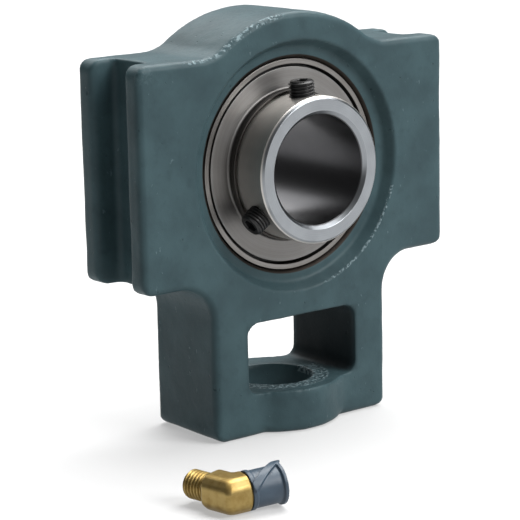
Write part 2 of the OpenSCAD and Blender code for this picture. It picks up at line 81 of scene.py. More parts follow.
class Wire:
    """An output in a node tree, so that the maths of shaders and shapes reads as Python expressions."""

    def __init__(self, tree, output=None):
        self.tree = tree
        self.output = output

    def node(self, kind, settings=None, sockets=None, out=0):
        """Adds a node: its settings first, then the values or links of its sockets."""
        made = self.tree.nodes.new(kind)
        for name, value in (settings or {}).items():
            setattr(made, name, value)
        for name, value in (sockets or {}).items():
            if isinstance(value, Wire):
                self.tree.links.new(value.output, made.inputs[name])
            else:
                made.inputs[name].default_value = value
        return Wire(self.tree, made.outputs[out] if made.outputs else None)

    def other(self, name):
        """Another output of the same node."""
        return Wire(self.tree, self.output.node.outputs[name])

    def maths(self, operation, *others):
        return self.node("ShaderNodeMath", {"operation": operation}, dict(enumerate((self,) + others)))

    def __add__(self, other):
        return self.maths("ADD", other)

    def __sub__(self, other):
        return self.maths("SUBTRACT", other)

    def __mul__(self, other):
        return self.maths("MULTIPLY", other)

    def __truediv__(self, other):
        return self.maths("DIVIDE", other)

    def __rsub__(self, other):
        return self.maths("MULTIPLY_ADD", -1.0, other)

    __radd__ = __add__
    __rmul__ = __mul__

    def parts(self):
        """The X, Y and Z of a vector."""
        x = self.node("ShaderNodeSeparateXYZ", None, {"Vector": self})
        return x, x.other("Y"), x.other("Z")

    def step(self, low, high):
        """0 below low, 1 above high, and smooth between them."""
        limits = {"Value": self, "From Min": low, "From Max": high}
        return self.node("ShaderNodeMapRange", {"interpolation_type": "SMOOTHSTEP"}, limits)

    def grain(self, size, detail=2.0, stretch=(1, 1, 1)):
        """Noise from 0 to 1 on these coordinates, with blots of about the given size in metres."""
        place = self.node("ShaderNodeMapping", None, {"Vector": self, "Scale": stretch})
        return self.node("ShaderNodeTexNoise", None, {"Vector": place, "Scale": 1 / size, "Detail": detail})

    def mix(self, low, high):
        """The colour low where this is 0, and high where it is 1."""
        return self.node("ShaderNodeMix", {"data_type": "RGBA"}, {0: self, 6: low, 7: high}, out=2)


def tint(red, green, blue):
    """A colour as it looks on a screen, 0 to 255, in the linear numbers that shaders take."""
    return tuple((c / 255) ** 2.2 for c in (red, green, blue)) + (1.0,)


def finish_named(name):
    """A new material with its Principled shader and the Object coordinates that its patterns follow."""
    material = bpy.data.materials.new(name)
    material.use_nodes = True
    shader = material.node_tree.nodes["Principled BSDF"]
    place = Wire(material.node_tree).node("ShaderNodeTexCoord", out=3)
    return material, shader, place


def feed(shader, **values):
    """Links or sets the shader's sockets, by their names with _ for a space."""
    for name, value in values.items():
        socket = shader.inputs[name.replace("_", " ")]
        if isinstance(value, Wire):
            value.tree.links.new(value.output, socket)
        else:
            socket.default_value = value


def dented(height, depth):
    """A bump of the given depth in metres from a height between 0 and 1."""
    return height.node("ShaderNodeBump", None, {"Height": height, "Strength": 1.0, "Distance": depth})


def casting_paint():
    material, shader, place = finish_named("casting_paint")
    worn = place.node("ShaderNodeAttribute", {"attribute_name": "worn"}, out=2)
    # Painted shade: this attribute darkens the paint inside the window.
    window_shade = place.node("ShaderNodeAttribute", {"attribute_name": "window_shade"}, out=2)
    fine = place.grain(0.45 * MM, 3)
    soft = place.grain(2.2 * MM, 3)
    blots = place.grain(11 * MM, 4)
    colour = blots.step(0.3, 0.7).mix(tint(50, 66, 70), tint(58, 76, 80))
    colour = (soft.step(0.5, 0.8) * 0.35).mix(colour, tint(42, 57, 61))
    pits = place.grain(1.5 * MM, 1).step(0.72, 0.8)
    nicks = place.grain(1.3 * MM, 3, (1, 1, 0.6)).step(0.7, 0.75)
    colour = (pits * 0.3).mix(colour, tint(26, 38, 42))
    colour = (nicks * 0.35).mix(colour, tint(96, 114, 119))
    # Painted shade: the paint is made near black inside the window.
    colour = (window_shade * 0.8).mix(colour, tint(20, 27, 30))
    crumbs = place.grain(0.8 * MM, 4).step(0.46, 0.6)
    bright = worn.step(0.35, 0.9) * crumbs
    colour = (bright * 0.75).mix(colour, tint(122, 140, 145))
    reach = place.node("ShaderNodeVectorMath", {"operation": "LENGTH"}, {0: place}, out=1)
    bare = 1 - reach.step(SEAT_MOUTH - 0.1 * MM, SEAT_MOUTH + 0.1 * MM)
    colour = bare.mix(colour, tint(44, 40, 37))
    height = fine * 0.25 + soft * 0.75 + bright * 1.2 - pits * 0.9 + nicks * 0.6
    feed(shader, Base_Color=colour, Metallic=bare * 0.6, Specular_IOR_Level=0.14,
         Roughness=0.36 + fine * 0.2 + window_shade * 0.2 + bare * 0.1, Normal=dented(height, 0.1 * MM))
    return material


def plain_mesh(obj, name):
    """The evaluated object, with its modifiers, as a new mesh of its own."""
    graph = bpy.context.evaluated_depsgraph_get()
    mesh = bpy.data.meshes.new_from_object(obj.evaluated_get(graph))
    mesh.name = name
    return mesh


def add_piece(name, mesh, material, body, slot, *nodes):
    """Puts a finished mesh in the scene as a piece that rides on a body in place of CAD nodes."""
    mesh.materials.clear()
    mesh.materials.append(material)
    piece = bpy.data.objects.new(name, mesh)
    bpy.context.scene.collection.objects.link(piece)
    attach(piece, body)
    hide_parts(*nodes)
    return piece


def merged_copy(node):
    """A copy of a CAD node's mesh with its loose triangles joined."""
    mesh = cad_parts[node].data.copy()
    work = bmesh.new()
    work.from_mesh(mesh)
    bmesh.ops.remove_doubles(work, verts=work.verts, dist=0.002 * MM)
    work.to_mesh(mesh)
    work.free()
    return mesh


def with_modifier(mesh, kind, **settings):
    """The mesh after one modifier."""
    obj = bpy.data.objects.new("work", mesh)
    bpy.context.scene.collection.objects.link(obj)
    modifier = obj.modifiers.new(kind.lower(), kind)
    for name, value in settings.items():
        setattr(modifier, name, value)
    made = plain_mesh(obj, mesh.name)
    bpy.data.objects.remove(obj)
    return made


def points_of(mesh):
    points = np.empty(len(mesh.vertices) * 3)
    mesh.vertices.foreach_get("co", points)
    return points.reshape(-1, 3)


def normals_of(mesh):
    normals = np.empty(len(mesh.vertices) * 3)
    mesh.vertex_normals.foreach_get("vector", normals)
    return normals.reshape(-1, 3)


def set_points(mesh, points):
    mesh.vertices.foreach_set("co", points.astype(np.float32).ravel())
    mesh.update()


def relaxed(mesh, values, strengths):
    """Values on the mesh's points, drawn once per strength towards the mean of their neighbours."""
    ends = np.empty(len(mesh.edges) * 2, int)
    mesh.edges.foreach_get("vertices", ends)
    a, b = ends.reshape(-1, 2).T
    count = len(mesh.vertices)
    near = np.bincount(np.concatenate([a, b]), minlength=count)[:, None]
    for strength in strengths:
        total = np.stack([np.bincount(a, column[b], count) + np.bincount(b, column[a], count)
                          for column in values.T], 1)
        values = values + strength * (total / near - values)
    return values


# In pairs a pull and a slightly stronger push, which smooth a shape and don't shrink it
FAIRING = [0.5, -0.52]


def window_of(values, low, high, soft):
    """1 for values between low and high, falling to 0 over the soft distance outside them."""
    return np.clip(np.minimum(values - low, high - values) / soft + 1, 0, 1)


def cast_skin(point):
    """How far the sand mould's skin stands out at a point, in metres."""
    broad = noise.noise(point / (13 * MM)) * 0.13
    rough = noise.noise(point / (3.6 * MM) + Vector((7, 3, 5))) * 0.06
    sand = noise.noise(point / (1.2 * MM) + Vector((2, 9, 4))) * 0.02
    return (broad + rough + sand) * MM


def worn_places(points, edge):
    """Where handling and fettling left the paint bright: 0 to 1 on each point."""
    x, y, z = points.T
    out = np.hypot(x, z)
    front = window_of(y, FACE_Y - 0.6 * MM, FACE_Y + 1.4 * MM, 0.4 * MM)
    above = (z > RAIL_TOP - 1.5 * MM) & (out > RECESS_R + 2 * MM)
    arch = edge * front * window_of(x, -30 * MM, -5 * MM, 4 * MM) * above
    recess = (front * window_of(out, RECESS_R - 0.15 * MM, RECESS_R + 0.2 * MM, 0.3 * MM)
              * window_of(x, 8 * MM, 29 * MM, 3 * MM) * (z < -8 * MM))
    corner = (front * window_of(x, RAIL_SIDE, RAIL_SIDE + 4 * MM, 2 * MM)
              * window_of(z, RAIL_TOP - 4 * MM, RAIL_TOP, 2 * MM) * 0.45)
    mouth = window_of(np.hypot(x, y), ADJUSTER_R - 0.5 * MM, ADJUSTER_R + 3.4 * MM, 1.5 * MM)
    hole = window_of(z, WINDOW_FLOOR - 1.2 * MM, WINDOW_FLOOR + 0.6 * MM, 0.3 * MM) * mouth * (y < 2 * MM)
    return np.clip(np.max([arch, 0.8 * recess, corner, hole], axis=0), 0, 1)


def window_shade_places(points):
    """Inside the window, where shade falls and is painted into the colour: 0 to 1 on each point."""
    x, y, z = points.T
    across = window_of(x, -WINDOW_HALF_W, WINDOW_HALF_W, 0.5 * MM)
    through = window_of(y, FACE_Y + 2 * MM, -FACE_Y - 2 * MM, 3 * MM)
    upright = window_of(z, WINDOW_FLOOR + 0.6 * MM, WINDOW_TOP, 0.5 * MM)
    return across * through * upright


def housing_mesh():
    mesh = with_modifier(merged_copy("housing"), "REMESH", mode="VOXEL", voxel_size=CASTING_VOXEL)
    points = relaxed(mesh, points_of(mesh), FAIRING * CASTING_ROUNDS)
    set_points(mesh, points)
    normals = normals_of(mesh)
    bend = ((points - relaxed(mesh, points, [0.6] * 3)) * normals).sum(1, keepdims=True)
    edge = np.clip(relaxed(mesh, bend, [0.5] * 3)[:, 0] / EDGE_BEND, 0, 1) ** 3
    skin = np.array([cast_skin(Vector(p)) for p in points])
    worn = worn_places(points, edge)
    ragged = np.array([noise.noise(Vector(p) / (1.4 * MM)) for p in points])
    points = points + normals * (skin + worn * np.clip(ragged, 0, 1) * FLAKE_H)[:, None]
    # The seat is turned true, and the tail stands flat
    reach = np.linalg.norm(points, axis=1)
    seat = (reach < SEAT_R + SEAT_SKIN) & (np.abs(points[:, 1]) < SEAT_HALF_W)
    points[seat] *= (SEAT_R + SEAT_PLAY) / reach[seat, None]
    points[:, 2] = np.maximum(points[:, 2], FLOOR_Z)
    set_points(mesh, points)
    # The painted shade inside the window is stored as a point attribute beside the wear.
    for name, values in (("worn", worn), ("window_shade", window_shade_places(points))):
        attribute = mesh.attributes.new(name, "FLOAT", "POINT")
        attribute.data.foreach_set("value", values.astype(np.float32))
    mesh.shade_smooth()
    return mesh


add_piece("housing_casting", housing_mesh(), casting_paint(), "housing", "cast_paint", "housing")


# Outer ring
# Through-hardened bearing steel with a ground spherical outside, which swivels in the seat. Its bright
# end face shows as a narrow band round the flinger.

RING_STEPS = 192
RING_CREASE = math.radians(25)
ROUNDING_STEPS = 6
OUTSIDE_STEPS = 24
RACE_STEPS = 16
OUTER_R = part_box("outer_ring")[1].x
OUTER_HALF_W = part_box("outer_ring")[1].y
BALL_R = (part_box("ball_1")[1].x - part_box("ball_1")[0].x) / 2
PITCH_R = (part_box("ball_1")[1].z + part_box("ball_1")[0].z) / 2
RACE_R = 1.04 * BALL_R
RACE_PLAY = 0.03 * MM
RACE_DEPTH = 0.44 * BALL_R
SEAL_SEAT_R = OUTER_R - 2.8 * MM
SEAL_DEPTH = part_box("rear_seal")[0].y


def arc(centre, radius, start, end, steps):
    """Points round a centre, by angles in radians."""
    turns = np.linspace(start, end, steps + 1)
    return [(centre[0] + radius * math.cos(a), centre[1] + radius * math.sin(a)) for a in turns]


def softened(corners):
    """A closed outline from corners (x, y) or (x, y, rounding): the roundings become arcs."""
    guard = 0.05 * MM
    points = []
    for i, corner in enumerate(corners):
        here = Vector(corner[:2])
        if len(corner) == 2:
            points.append(tuple(here))
            continue
        back = (Vector(corners[i - 1][:2]) - here).normalized()
        on = (Vector(corners[(i + 1) % len(corners)][:2]) - here).normalized()
        half = back.angle(on) / 2
        cut = corner[2] / math.tan(half)
        middle = here + (back + on).normalized() * corner[2] / math.sin(half)
        first = here + back * cut - middle
        last = here + on * cut - middle
        sweep = math.pi - 2 * half
        points.append(tuple(here + back * (cut + guard)))
        for k in range(ROUNDING_STEPS + 1):
            share = k / ROUNDING_STEPS
            spoke = first * math.sin((1 - share) * sweep) + last * math.sin(share * sweep)
            points.append(tuple(middle + spoke / math.sin(sweep)))
        points.append(tuple(here + on * (cut + guard)))
    return points


def turned(name, outline):
    """A ring round the shaft from a closed outline of points (radius, along the shaft)."""
    turns = np.linspace(0, 2 * np.pi, RING_STEPS, endpoint=False)
    vertices = [(r * math.cos(a), y, r * math.sin(a)) for a in turns for r, y in outline]
    count = len(outline)
    faces = []
    for i in range(RING_STEPS):
        for k in range(count):
            here, there = i * count, (i + 1) % RING_STEPS * count
            faces.append((here + k, here + (k + 1) % count, there + (k + 1) % count, there + k))
    mesh = bpy.data.meshes.new(name)
    mesh.from_pydata(vertices, [], faces)
    work = bmesh.new()
    work.from_mesh(mesh)
    bmesh.ops.recalc_face_normals(work, faces=work.faces)
    work.to_mesh(mesh)
    work.free()
    mesh.shade_smooth()
    mesh.set_sharp_from_angle(angle=RING_CREASE)
    return mesh


def lathe_lines(place, size):
    """The distance from the shaft's axis, and fine lines of about the given size round the shaft."""
    x, y, z = place.parts()
    out = (x * x + z * z).maths("SQRT")
    section = place.node("ShaderNodeCombineXYZ", None, {"X": out, "Y": y})
    return out, section.grain(size, 3)


def machined_steel(name, colour, shade, roughness, line, depth, shade_r=0.0):
    """Steel as a lathe leaves it, with fine lines round the shaft, and painted shade inside shade_r."""
    material, shader, place = finish_named(name)
    out, lines = lathe_lines(place, line)
    cloud = place.grain(7 * MM, 3)
    marks = (lines * 0.6 + cloud * 0.4).step(0.3, 0.7)
    # Painted shade: the colour is darker inside the given radius, as shade at a flinger's collar.
    unshaded = out.step(shade_r - 0.5 * MM, shade_r + 0.5 * MM)
    feed(shader, Base_Color=unshaded.mix(tint(66, 64, 62), marks.mix(shade, colour)), Metallic=1.0,
         Roughness=roughness + lines * 0.12 + cloud * 0.1, Normal=dented(lines, depth))
    return material


def outer_ring_mesh():
    face_r = math.sqrt(OUTER_R ** 2 - OUTER_HALF_W ** 2)
    race_centre = PITCH_R + BALL_R + RACE_PLAY - RACE_R
    land_r = PITCH_R + BALL_R + RACE_PLAY - RACE_DEPTH
    lip = math.acos((land_r - race_centre) / RACE_R)
    swing = 0.9 * math.asin(OUTER_HALF_W / OUTER_R)
    bevel = 0.08 * MM
    outline = softened([(SEAL_SEAT_R, -OUTER_HALF_W, bevel), (face_r, -OUTER_HALF_W, bevel),
                        (OUTER_R * math.cos(swing), -OUTER_R * math.sin(swing))])[:-1]
    outline += arc((0, 0), OUTER_R, -swing, swing, OUTSIDE_STEPS)
    outline += softened([(OUTER_R * math.cos(swing), OUTER_R * math.sin(swing)),
                         (face_r, OUTER_HALF_W, bevel), (SEAL_SEAT_R, OUTER_HALF_W, bevel),
                         (SEAL_SEAT_R, SEAL_DEPTH)])[1:]
    outline += [(land_r, SEAL_DEPTH)] + arc((race_centre, 0), RACE_R, lip, -lip, RACE_STEPS)
    outline += [(land_r, -SEAL_DEPTH), (SEAL_SEAT_R, -SEAL_DEPTH)]
    return turned("outer_ring", outline)


ring_steel = machined_steel("ring_steel", tint(132, 130, 128), tint(112, 109, 106), 0.22,
                            0.12 * MM, 0.004 * MM)
add_piece("outer_ring_ground", outer_ring_mesh(), ring_steel, "outer_ring", "ring_steel", "outer_ring")


# Inner ring
# A long sleeve of bearing steel with the shaft bore, ground outside and honed inside. The two screw holes
# near its front end are drilled and tapped square to the shaft.

INNER_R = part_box("inner_ring")[1].x
INNER_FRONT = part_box("inner_ring")[0].y
INNER_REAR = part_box("inner_ring")[1].y
BORE_R = 12.7 * MM
BORE_BEVEL = 1.0 * MM
NOSE_BEVEL = 0.7 * MM
SCREW_ANGLES = (94, 214)
SCREW_Y = INNER_FRONT + 5 * MM
SCREW_HOLE_R = 3.0 * MM
DRILL_STEPS = 64


def inner_ring_mesh():
    race_centre = PITCH_R - BALL_R - RACE_PLAY + RACE_R
    lip = math.acos((race_centre - INNER_R) / RACE_R)
    soft = 0.15 * MM
    outline = softened([
        (BORE_R, INNER_FRONT + BORE_BEVEL, soft), (BORE_R + BORE_BEVEL, INNER_FRONT, soft),
        (INNER_R - NOSE_BEVEL, INNER_FRONT, soft), (INNER_R, INNER_FRONT + NOSE_BEVEL, soft),
        (INNER_R, 0), (INNER_R, INNER_REAR - NOSE_BEVEL, soft), (INNER_R - NOSE_BEVEL, INNER_REAR, soft),
        (BORE_R + BORE_BEVEL, INNER_REAR, soft), (BORE_R, INNER_REAR - BORE_BEVEL, soft)])
    middle = outline.index((INNER_R, 0))
    outline[middle:middle + 1] = arc((race_centre, 0), RACE_R, math.pi + lip, math.pi - lip, RACE_STEPS)
    return turned("inner_ring", outline)


def out_from_shaft(angle):
    """Turns a shape that points up to an angle round the shaft, in the plane of the set screws."""
    return Matrix.Rotation(math.radians(90 - angle), 4, "Y") @ Matrix.Translation((0, SCREW_Y, 0))


def drilled(mesh):
    """The inner ring with its two screw holes."""
    drill = bmesh.new()
    for angle in SCREW_ANGLES:
        hole = out_from_shaft(angle) @ Matrix.Translation((0, 0, INNER_R))
        bmesh.ops.create_cone(drill, cap_ends=True, segments=DRILL_STEPS, radius1=SCREW_HOLE_R,
                              radius2=SCREW_HOLE_R, depth=INNER_R, matrix=hole)
    cutter = bpy.data.meshes.new("drill")
    drill.to_mesh(cutter)
    drill.free()
    tool = bpy.data.objects.new("drill", cutter)
    bpy.context.scene.collection.objects.link(tool)
    made = with_modifier(mesh, "BOOLEAN", operation="DIFFERENCE", object=tool)
    bpy.data.objects.remove(tool)
    made.shade_smooth()
    made.set_sharp_from_angle(angle=RING_CREASE)
    return made


def sleeve_steel():
    """Pale where it is ground outside, greyer on the end faces, and dark in the bore as painted shade."""
    material, shader, place = finish_named("sleeve_steel")
    out, lines = lathe_lines(place, 0.1 * MM)
    cloud = place.grain(6 * MM, 3)
    outside = out.step(INNER_R - 0.35 * MM, INNER_R - 0.15 * MM)
    # Painted shade: the bore's colour is made dark.
    bore = 1 - out.step(BORE_R + 0.15 * MM, BORE_R + 0.3 * MM)
    colour = outside.mix(tint(150, 154, 158), tint(204, 201, 196))
    colour = bore.mix(colour, tint(80, 80, 82))
    marks = (lines * 0.6 + cloud * 0.4).step(0.3, 0.7)
    colour = (marks * 0.3).mix(colour, tint(62, 62, 64))
    feed(shader, Base_Color=colour, Metallic=1.0, Normal=dented(lines, 0.004 * MM),
         Roughness=0.22 + outside * 0.1 + bore * 0.02 + lines * 0.1 + cloud * 0.06)
    return material


add_piece("inner_ring_ground", drilled(inner_ring_mesh()), sleeve_steel(), "inner_ring", "ring_steel",
          "inner_ring")


# Balls, cage and rivets
# Nine polished balls in a ribbon cage: two pressed halves, riveted together between the balls. The seals
# and flingers hide them, so they keep the solids' own shapes.

def node_finish(material, *nodes):
    """Gives CAD nodes that keep their own shape a finish."""
    for node in nodes:
        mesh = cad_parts[node].data
        mesh.materials.clear()
        mesh.materials.append(material)


def plain_metal(name, colour, shade, roughness):
    """Pressed, drawn or plated metal with a faint cloud in its colour and its shine."""
    material, shader, place = finish_named(name)
    cloud = place.grain(2.5 * MM, 3)
    feed(shader, Base_Color=cloud.step(0.3, 0.7).mix(shade, colour), Metallic=1.0,
         Roughness=roughness + cloud * 0.15)
    return material


node_finish(plain_metal("ball_steel", tint(200, 202, 205), tint(186, 188, 192), 0.04),
            *["ball_%d" % i for i in range(1, 10)], "check_ball")
node_finish(plain_metal("cage_sheet", tint(150, 146, 140), tint(124, 120, 114), 0.3),
            "cage_front", "cage_rear", "cage_rivets")


# Seals
# Moulded black rubber in the outer ring's counterbores. Through the gap round the flingers they are the
# black line between flinger and outer ring.

def seal_rubber():
    material, shader, place = finish_named("seal_rubber")
    dust = place.grain(0.8 * MM, 3)
    feed(shader, Base_Color=dust.step(0.4, 0.8).mix(tint(18, 18, 19), tint(34, 33, 32)), Roughness=0.6)
    return material


node_finish(seal_rubber(), "front_seal", "rear_seal")


# Flingers
# Discs pressed from steel sheet, one on each side, that sit on the inner ring by a short collar and throw
# off dirt. Their flat faces show a grey sheet finish, with painted shade at the collar.

FLINGER_T = 0.6 * MM
FLINGER_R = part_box("front_flinger")[1].x
FLINGER_BACK = -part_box("front_flinger")[1].y
COLLAR_END = -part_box("front_flinger")[0].y
FLINGER_BORE = INNER_R + 0.02 * MM
SHEET_EDGE = 0.1 * MM
COLLAR_BEND = 0.6 * MM
COLLAR_EDGE = 0.2 * MM
# How far out from the collar the painted shade reaches
COLLAR_SHADE_W = 0.85 * MM


def flinger_mesh(side):
    """One flinger, at the front for side -1 and at the back for side 1."""
    face = FLINGER_BACK + FLINGER_T
    collar = FLINGER_BORE + FLINGER_T
    corners = [(FLINGER_BORE, FLINGER_BACK), (FLINGER_R, FLINGER_BACK, SHEET_EDGE),
               (FLINGER_R, face, SHEET_EDGE), (collar, face, COLLAR_BEND),
               (collar, COLLAR_END, COLLAR_EDGE), (FLINGER_BORE, COLLAR_END, COLLAR_EDGE)]
    return turned("flinger", [(r, side * y) for r, y in softened(corners)])


flinger_sheet = machined_steel("flinger_sheet", tint(128, 127, 126), tint(114, 112, 110), 0.36,
                               0.3 * MM, 0.003 * MM, FLINGER_BORE + COLLAR_SHADE_W)
for flinger, side in (("front_flinger", -1), ("rear_flinger", 1)):
    add_piece(flinger + "_disc", flinger_mesh(side), flinger_sheet, "inner_ring", "flinger_sheet", flinger)


# Set screws
# Two short screws of blackened steel with a hexagon socket and a cup point, which bite into the shaft.
# About half of each stands clear of the inner ring.

THREAD_STEPS = 96
THREAD_CREASE = math.radians(35)
SCREW_R = 2.95 * MM
SCREW_L = 7 * MM
SCREW_PROUD = 3.4 * MM
SCREW_PITCH = 0.75 * MM
SCREW_LEAD = 0.45 * MM
SCREW_GROOVE = 0.42 * MM
SCREW_ROWS = 140
CUP_DEPTH = 0.6 * MM
SOCKET_FLAT = 3 * MM
SOCKET_DEPTH = 3.2 * MM
SOCKET_BEVEL = 0.15 * MM
SOCKET_CONE = 0.5 * MM
SOCKET_FLARE = 1.09


def thread_tree():
    """Geometry nodes for a screw thread up the Z axis: a grid, grooved by its height and rolled up."""
    tree = bpy.data.node_groups.new("thread", "GeometryNodeTree")
    for name in ("Radius", "Depth", "Pitch", "Length", "Lead"):
        tree.interface.new_socket(name, in_out="INPUT", socket_type="NodeSocketFloat")
    for name in ("Segments", "Rows"):
        tree.interface.new_socket(name, in_out="INPUT", socket_type="NodeSocketInt")
    tree.interface.new_socket("Material", in_out="INPUT", socket_type="NodeSocketMaterial")
    tree.interface.new_socket("Geometry", in_out="OUTPUT", socket_type="NodeSocketGeometry")
    given = Wire(tree).node("NodeGroupInput")
    radius, length = given.other("Radius"), given.other("Length")
    grid = given.node("GeometryNodeMeshGrid", None, {
        "Size X": 1, "Size Y": 1,
        "Vertices X": given.other("Segments") + 1, "Vertices Y": given.other("Rows")})
    across, up, _ = given.node("GeometryNodeInputPosition").parts()
    turn = across + 0.5
    height = (up + 0.5) * length
    phase = (height / given.other("Pitch") - turn).maths("FRACT")
    crest = (phase * 2 - 1).maths("ABSOLUTE").step(0.1, 0.85)
    grooved = radius - given.other("Depth") * (1 - crest)
    bevelled = radius - given.other("Lead") + height.maths("MINIMUM", length - height)
    reach = grooved.maths("MINIMUM", bevelled)
    angle = turn * (2 * math.pi)
    place = given.node("ShaderNodeCombineXYZ", None, {
        "X": reach * angle.maths("COSINE"), "Y": reach * angle.maths("SINE"), "Z": height})
    shape = grid.node("GeometryNodeSetPosition", None, {"Geometry": grid, "Position": place})
    shape = shape.node("GeometryNodeMergeByDistance", None, {"Geometry": shape, "Distance": 0.0005 * MM})
    shape = shape.node("GeometryNodeRealizeInstances", None, {"Geometry": shape})
    shape = shape.node("GeometryNodeSetMaterial", None, {
        "Geometry": shape, "Material": given.other("Material")})
    shape.node("NodeGroupOutput", None, {"Geometry": shape})
    return tree


def threaded(tree, material, **sizes):
    """A thread's wall, open at both ends, from the thread tree's named inputs."""
    obj = bpy.data.objects.new("thread", bpy.data.meshes.new("thread"))
    bpy.context.scene.collection.objects.link(obj)
    modifier = obj.modifiers.new("thread", "NODES")
    modifier.node_group = tree
    sizes["Material"] = material
    for item in tree.interface.items_tree:
        if item.in_out == "INPUT":
            modifier[item.identifier] = sizes[item.name]
    mesh = plain_mesh(obj, "thread")
    bpy.data.objects.remove(obj)
    return mesh


def capped(wall, *caps):
    """The wall with caps, each a list of rings (radius or radii, height) that ends on the axis."""
    turns = np.linspace(0, 2 * np.pi, THREAD_STEPS, endpoint=False)
    work = bmesh.new()
    work.from_mesh(wall)
    for cap in caps:
        rings = []
        for radius, height in cap:
            reach = np.broadcast_to(radius, THREAD_STEPS)
            rings.append([work.verts.new((r * math.cos(a), r * math.sin(a), height))
                          for r, a in zip(reach, turns)])
        for low, high in zip(rings, rings[1:]):
            for k in range(THREAD_STEPS):
                n = (k + 1) % THREAD_STEPS
                work.faces.new((low[k], low[n], high[n], high[k]))
    bmesh.ops.remove_doubles(work, verts=work.verts, dist=0.001 * MM)
    bmesh.ops.recalc_face_normals(work, faces=work.faces)
    work.to_mesh(wall)
    work.free()
    wall.shade_smooth()
    wall.set_sharp_from_angle(angle=THREAD_CREASE)
    return wall


def hexagon(flat):
    """Radii of a hexagon of that width across the flats, a corner first."""
    turns = np.linspace(0, 2 * np.pi, THREAD_STEPS, endpoint=False)
    return flat / 2 / np.cos(turns % (math.pi / 3) - math.pi / 6)


def black_steel():
    material, shader, place = finish_named("black_steel")
    oxide = place.grain(0.6 * MM, 3)
    feed(shader, Base_Color=oxide.step(0.35, 0.75).mix(tint(16, 16, 17), tint(32, 31, 31)),
         Roughness=0.34 + oxide * 0.2, Normal=dented(oxide, 0.01 * MM))
    return material


def set_screw_mesh(tree, material, angle):
    wall = threaded(tree, material, Radius=SCREW_R, Depth=SCREW_GROOVE, Pitch=SCREW_PITCH, Length=SCREW_L,
                    Lead=SCREW_LEAD, Segments=THREAD_STEPS, Rows=SCREW_ROWS)
    rim = SCREW_R - SCREW_LEAD
    floor = SCREW_L - SOCKET_DEPTH
    socket = hexagon(SOCKET_FLAT)
    top = [(rim, SCREW_L), (SOCKET_FLARE * socket, SCREW_L), (socket, SCREW_L - SOCKET_BEVEL),
           (socket, floor), (0, floor - SOCKET_CONE)]
    point = [(rim, 0), (SCREW_R / 2, 0), (0, CUP_DEPTH)]
    mesh = capped(wall, top, point)
    mesh.transform(out_from_shaft(angle) @ Matrix.Translation((0, 0, INNER_R + SCREW_PROUD - SCREW_L)))
    return mesh


thread = thread_tree()
blackened = black_steel()
for number, angle in enumerate(SCREW_ANGLES, 1):
    screw = "set_screw_%d" % number
    mesh = set_screw_mesh(thread, blackened, angle)
    add_piece(screw + "_threaded", mesh, blackened, screw, "black_steel", screw)


# Elbow of the grease fitting
# A square brass bar with its corners cut off, mitred at the bend and turned to a thread at one end, with a
# round outlet for the nipple. It lies loose in front of the housing, rolled a little onto the cap's rim.

ELBOW_HALF = 4 * MM
ELBOW_CUT = 1.9 * MM
ELBOW_L = 5.6 * MM
ELBOW_ROUNDING = 0.9 * MM
FITTING_THREAD_R = 3.175 * MM
FITTING_THREAD_L = 6.2 * MM
FITTING_PITCH = 0.907 * MM
FITTING_LEAD = 0.6 * MM
FITTING_GROOVE = 0.5 * MM
FITTING_ROWS = 110
CHANNEL_R = 1.25 * MM
CHANNEL_FLOOR = 0.3 * MM
BEND = math.radians(67.5)
OUTLET_L = 3.2 * MM
OUTLET_LIP = 0.4 * MM
OUTLET_R = 3.8 * MM
FITTING_PLACE = (-51.5 * MM, -52 * MM)
FITTING_TURN = math.radians(-80)
FITTING_ROLL = math.radians(4)


def on_fitting():
    """From the fitting drawn with its bend at the origin and its thread along -X to where it lies."""
    rest = ELBOW_HALF * math.cos(FITTING_ROLL) + (ELBOW_HALF - ELBOW_CUT) * math.sin(FITTING_ROLL)
    return (Matrix.Translation((*FITTING_PLACE, FLOOR_Z + rest)) @ Matrix.Rotation(FITTING_TURN, 4, "Z")
            @ Matrix.Rotation(FITTING_ROLL, 4, "X"))


def brass():
    material, shader, place = finish_named("brass")
    drawn = place.grain(0.16 * MM, 2, (0.12, 1, 1))
    stain = place.grain(2.2 * MM, 4)
    colour = stain.step(0.35, 0.75).mix(tint(158, 137, 88), tint(136, 113, 66))
    feed(shader, Base_Color=colour, Metallic=1.0, Roughness=0.38 + stain * 0.14,
         Normal=dented(drawn, 0.003 * MM))
    return material


